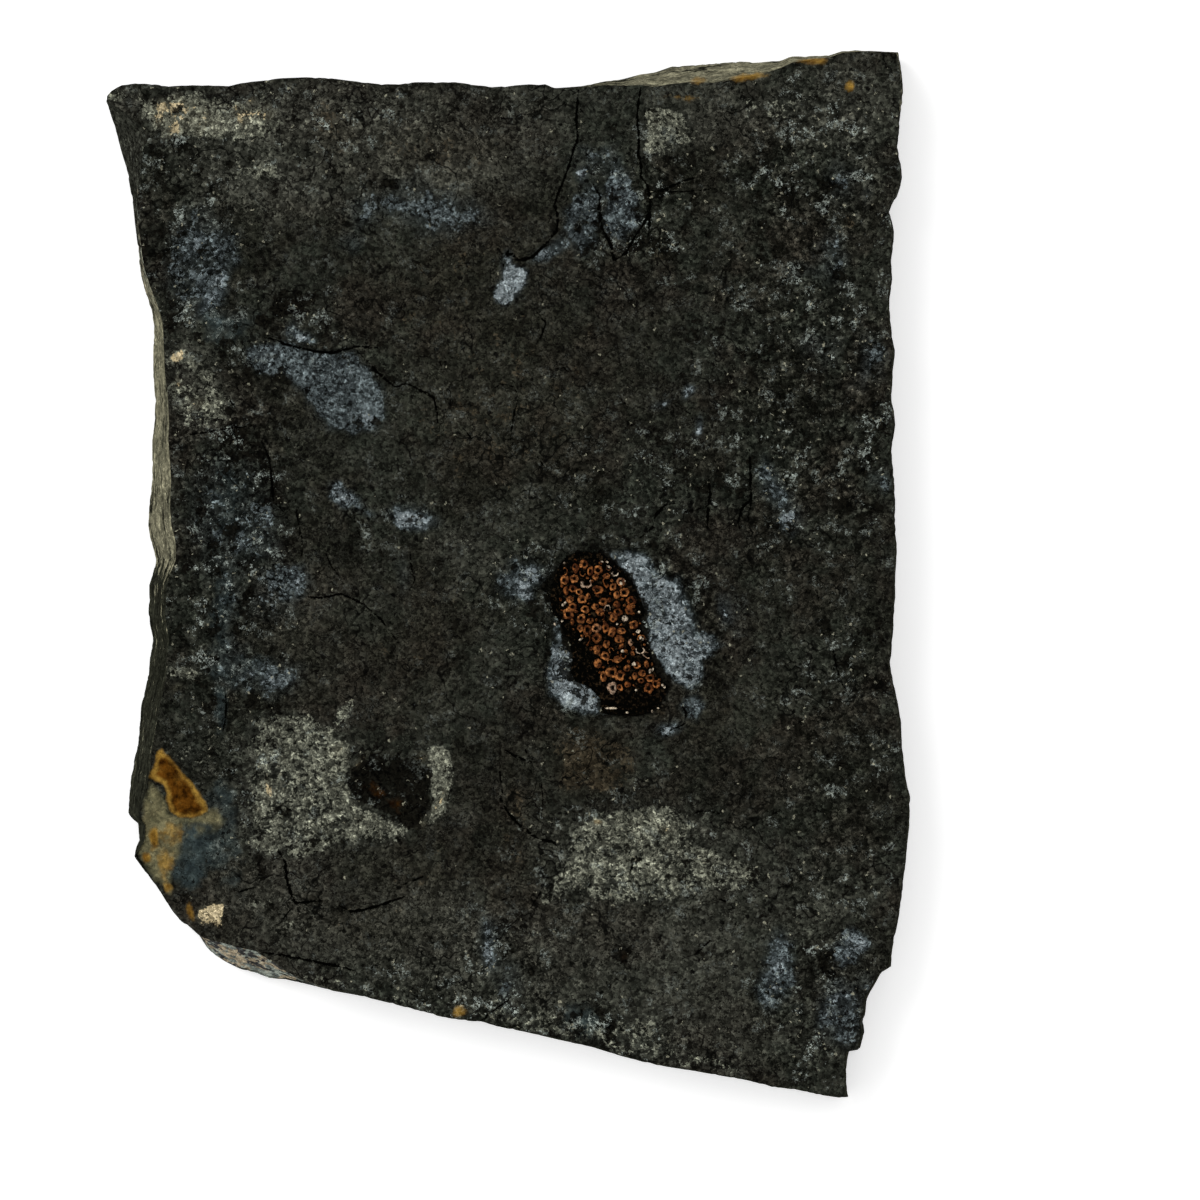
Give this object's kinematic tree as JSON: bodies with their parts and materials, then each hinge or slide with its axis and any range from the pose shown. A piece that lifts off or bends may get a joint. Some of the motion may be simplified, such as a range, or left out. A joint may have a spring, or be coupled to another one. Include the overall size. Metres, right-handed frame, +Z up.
{
  "type": "fossil amphibian egg cluster",
  "caption": "Broken slab of dark laminated shale with a low black mass of small orange-brown fossil amphibian eggs in a shallow prepared window.",
  "frame": {"origin": "middle of the slab's bounding box, on the surface that its underside rests on", "axes": "+X to the slab's right and +Y to its upper end as the eggs are seen from above, +Z up out of the bedding face"},
  "size_m": [0.0886, 0.1156, 0.009],
  "materials": {
    "shale": "matt, finely grained bedding face with fresh blue-grey and cream flakes",
    "fossil_eggs": "black carbon film with orange-brown egg shells"
  },
  "bodies": {
    "root": {"shale_slab": "shale", "egg_cluster": "fossil_eggs"}
  },
  "joints": []
}
